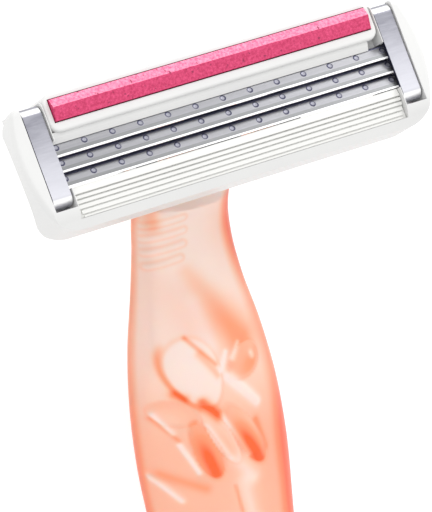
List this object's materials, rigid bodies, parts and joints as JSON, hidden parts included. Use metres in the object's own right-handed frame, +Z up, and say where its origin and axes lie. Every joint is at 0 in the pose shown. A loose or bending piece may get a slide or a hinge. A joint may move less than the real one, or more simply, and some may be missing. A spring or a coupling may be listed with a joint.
{
  "type": "cartridge razor",
  "caption": "Wet-shaving razor with a swivelling white cartridge of sprung blades, a ribbed guard and a lubricating strip, on a translucent coral handle with a raised blossom.",
  "frame": {"origin": "under the middle of the razor's bounding box, on the surface that it lies on", "axes": "+Y along the handle from its tail to the head, +X along the blades, +Z up out of the shaving side"},
  "size_m": [0.0416, 0.1292, 0.0196],
  "materials": {
    "white_plastic": "satin moulded",
    "guard_plastic": "satin moulded",
    "strip": "speckled, slightly waxy",
    "blade_steel": "ground, with polished edge",
    "support_steel": "rolled",
    "spring_steel": "drawn wire",
    "clip_aluminium": "finely brushed",
    "mechanism_plastic": "satin moulded",
    "coral_plastic": "translucent, softly frosted"
  },
  "bodies": {
    "grip": {"handle_body": "coral_plastic", "handle_nose": "coral_plastic"},
    "connector": {"cartridge_connector": "coral_plastic"},
    "cartridge": {"cartridge_housing": "white_plastic", "guard_bar": "guard_plastic", "lubricating_strip": "strip", "clip_left": "clip_aluminium", "clip_right": "clip_aluminium", "blade_spring_1": "mechanism_plastic", "blade_spring_2": "mechanism_plastic", "blade_spring_3": "mechanism_plastic"},
    "blade_unit_1": {"blade_1": "blade_steel", "blade_support_1": "support_steel"},
    "blade_unit_2": {"blade_2": "blade_steel", "blade_support_2": "support_steel"},
    "blade_unit_3": {"blade_3": "blade_steel", "blade_support_3": "support_steel"},
    "plunger_body": {"plunger": "mechanism_plastic", "plunger_spring": "spring_steel"},
    "slider": {"release_slider": "coral_plastic"}
  },
  "joints": [
    {"name": "cartridge_release", "type": "slide", "parent": "grip", "child": "connector", "axis": [0, 0.6428, 0.766], "range_m": [0, 0.0032]},
    {"name": "cartridge_swivel", "type": "hinge", "parent": "connector", "child": "cartridge", "pos_m": [0, 0.0558, 0.01293], "axis": [-1, 0, 0], "range_deg": [0, 40], "stiffness_Nm_per_rad": 0.006, "springref_deg": -8.59},
    {"name": "blade_1_sink", "type": "slide", "parent": "cartridge", "child": "blade_unit_1", "axis": [0, -0.4226, -0.9063], "range_m": [0, 0.00035], "stiffness_N_per_m": 300, "springref_m": -0.0002, "deforming": ["blade_spring_1"]},
    {"name": "blade_2_sink", "type": "slide", "parent": "cartridge", "child": "blade_unit_2", "axis": [0, -0.4226, -0.9063], "range_m": [0, 0.00035], "stiffness_N_per_m": 300, "springref_m": -0.0002, "deforming": ["blade_spring_2"]},
    {"name": "blade_3_sink", "type": "slide", "parent": "cartridge", "child": "blade_unit_3", "axis": [0, -0.4226, -0.9063], "range_m": [0, 0.00035], "stiffness_N_per_m": 300, "springref_m": -0.0002, "deforming": ["blade_spring_3"]},
    {"name": "plunger_slide", "type": "slide", "parent": "grip", "child": "plunger_body", "axis": [0, -0.6428, -0.766], "range_m": [0, 0.0008], "deforming": ["plunger_spring"]},
    {"name": "release_slide", "type": "slide", "parent": "grip", "child": "slider", "axis": [0, 0.6428, 0.766], "range_m": [0, 0.0032]}
  ],
  "couplings": [
    {"joint": "plunger_slide", "follows": "cartridge_swivel", "m_per_rad": 0.00114},
    {"joint": "release_slide", "follows": "cartridge_release", "ratio": 1}
  ]
}
